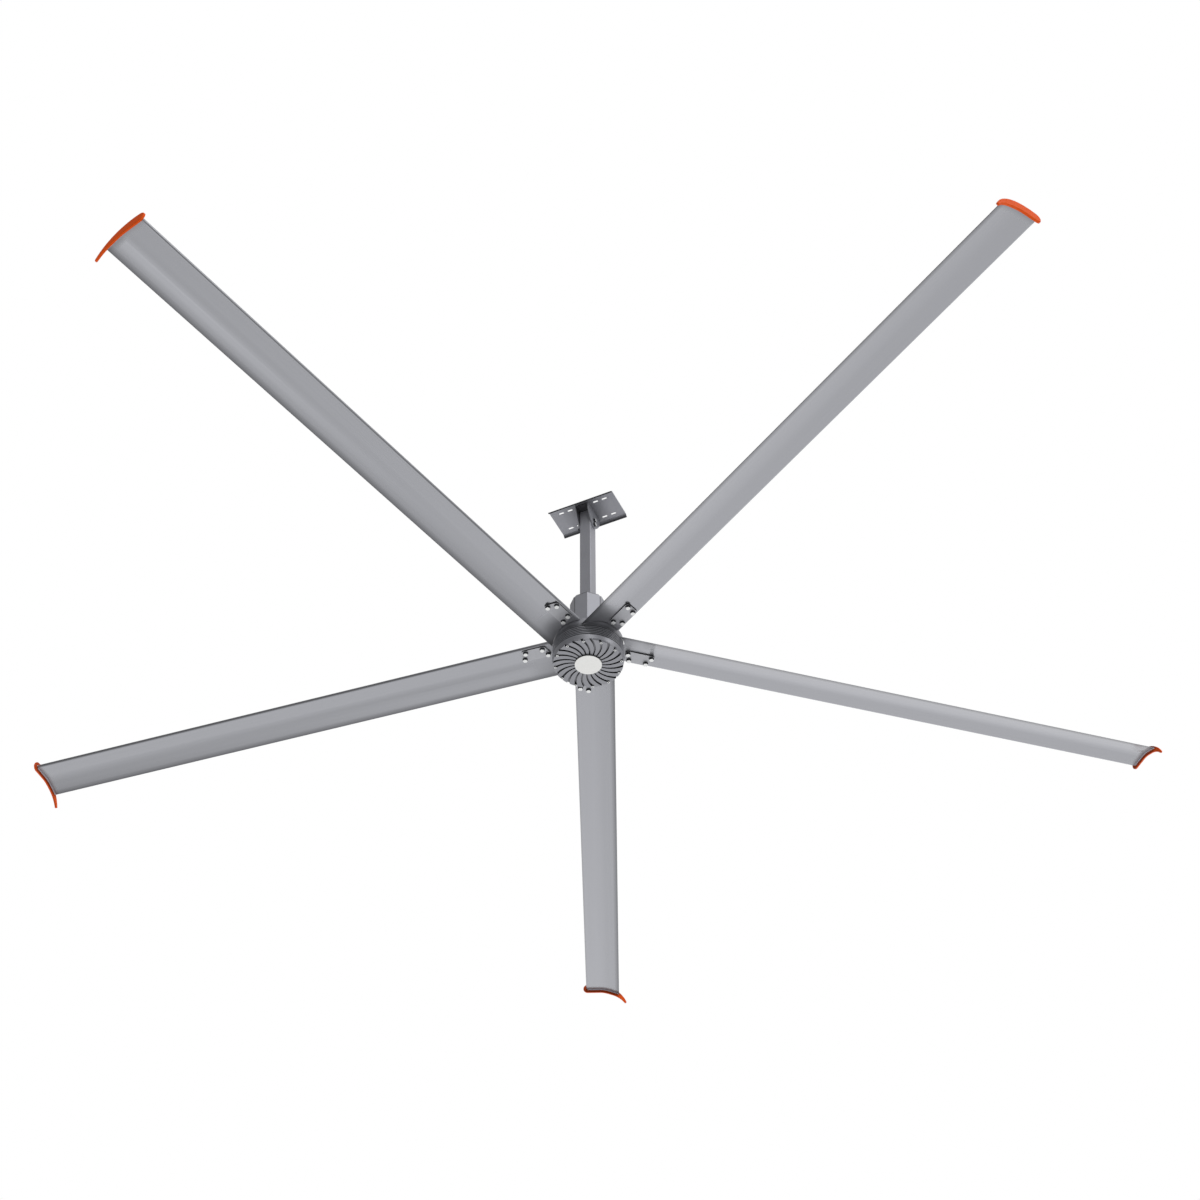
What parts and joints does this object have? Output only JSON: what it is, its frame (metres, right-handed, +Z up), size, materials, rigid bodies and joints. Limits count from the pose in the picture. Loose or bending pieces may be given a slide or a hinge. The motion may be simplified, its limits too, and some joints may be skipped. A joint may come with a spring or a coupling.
{
  "type": "high volume low speed ceiling fan",
  "caption": "Large slow ceiling fan on a square down tube with a slotted ceiling plate, a ribbed direct-drive motor, long cambered blades and drooping orange tip caps.",
  "frame": {"origin": "centre of the ceiling plate's flat top face, on the fan's axis", "axes": "+Z up along the fan's axis out of the plate's top face, +X along the plate's long side and its slots, +Y across the plate"},
  "size_m": [5.7481, 5.8663, 1.095],
  "materials": {
    "grey_painted_steel": "satin metallic grey powder coat",
    "grey_cast_aluminium": "satin metallic grey coat on castings",
    "blade_aluminium": "satin anodised extrusion",
    "zinc_plate": "zinc plated sheet",
    "bright_zinc": "bright zinc plated fasteners",
    "machined_steel": "turned and ground steel",
    "bare_aluminium": "turned aluminium",
    "lamination_steel": "stacked electrical steel",
    "copper_wire": "varnished copper winding",
    "magnet": "nickel plated magnet",
    "black_rubber": "matt moulded rubber",
    "white_plastic": "off-white moulded disc",
    "grey_plastic": "dark blue-grey moulding",
    "orange_plastic": "orange moulding"
  },
  "bodies": {
    "column": {"ceiling_plate": "grey_painted_steel", "saddle": "grey_painted_steel", "down_tube": "grey_painted_steel", "column_bolts": "bright_zinc", "column_nuts": "bright_zinc", "motor_socket": "grey_painted_steel", "shroud_panel_1": "grey_painted_steel", "shroud_panel_2": "grey_painted_steel", "shroud_panel_3": "grey_painted_steel", "shroud_panel_4": "grey_painted_steel", "shroud_screws": "bright_zinc", "cable_grommet": "black_rubber", "axle": "machined_steel", "flange_bolts": "bright_zinc", "upper_inner_ring": "machined_steel", "lower_inner_ring": "machined_steel", "stator_carrier": "bare_aluminium", "stator_core": "lamination_steel", "stator_coils": "copper_wire", "shaft_nut": "machined_steel"},
    "rotor": {"hub": "grey_cast_aluminium", "upper_outer_ring": "machined_steel", "lower_outer_ring": "machined_steel", "shaft_seal": "black_rubber", "rotor_shell": "grey_cast_aluminium", "back_iron": "machined_steel", "magnets": "magnet", "bottom_cover": "grey_cast_aluminium", "tie_bolts": "bright_zinc", "centre_disc": "white_plastic", "blade_bolts": "bright_zinc", "strut_bolts": "bright_zinc", "strut_1": "machined_steel", "strut_2": "machined_steel", "strut_3": "machined_steel", "strut_4": "machined_steel", "strut_5": "machined_steel", "blade_1": "blade_aluminium", "blade_2": "blade_aluminium", "blade_3": "blade_aluminium", "blade_4": "blade_aluminium", "blade_5": "blade_aluminium", "clamp_plate_1": "zinc_plate", "clamp_plate_2": "zinc_plate", "clamp_plate_3": "zinc_plate", "clamp_plate_4": "zinc_plate", "clamp_plate_5": "zinc_plate", "tip_plug_1": "grey_plastic", "tip_plug_2": "grey_plastic", "tip_plug_3": "grey_plastic", "tip_plug_4": "grey_plastic", "tip_plug_5": "grey_plastic", "tip_cap_1": "orange_plastic", "tip_cap_2": "orange_plastic", "tip_cap_3": "orange_plastic", "tip_cap_4": "orange_plastic", "tip_cap_5": "orange_plastic"}
  },
  "joints": [
    {"name": "rotor_spin", "type": "hinge", "parent": "column", "child": "rotor", "pos_m": [0, 0, -0.968], "axis": [0, 0, 1], "continuous": true}
  ]
}
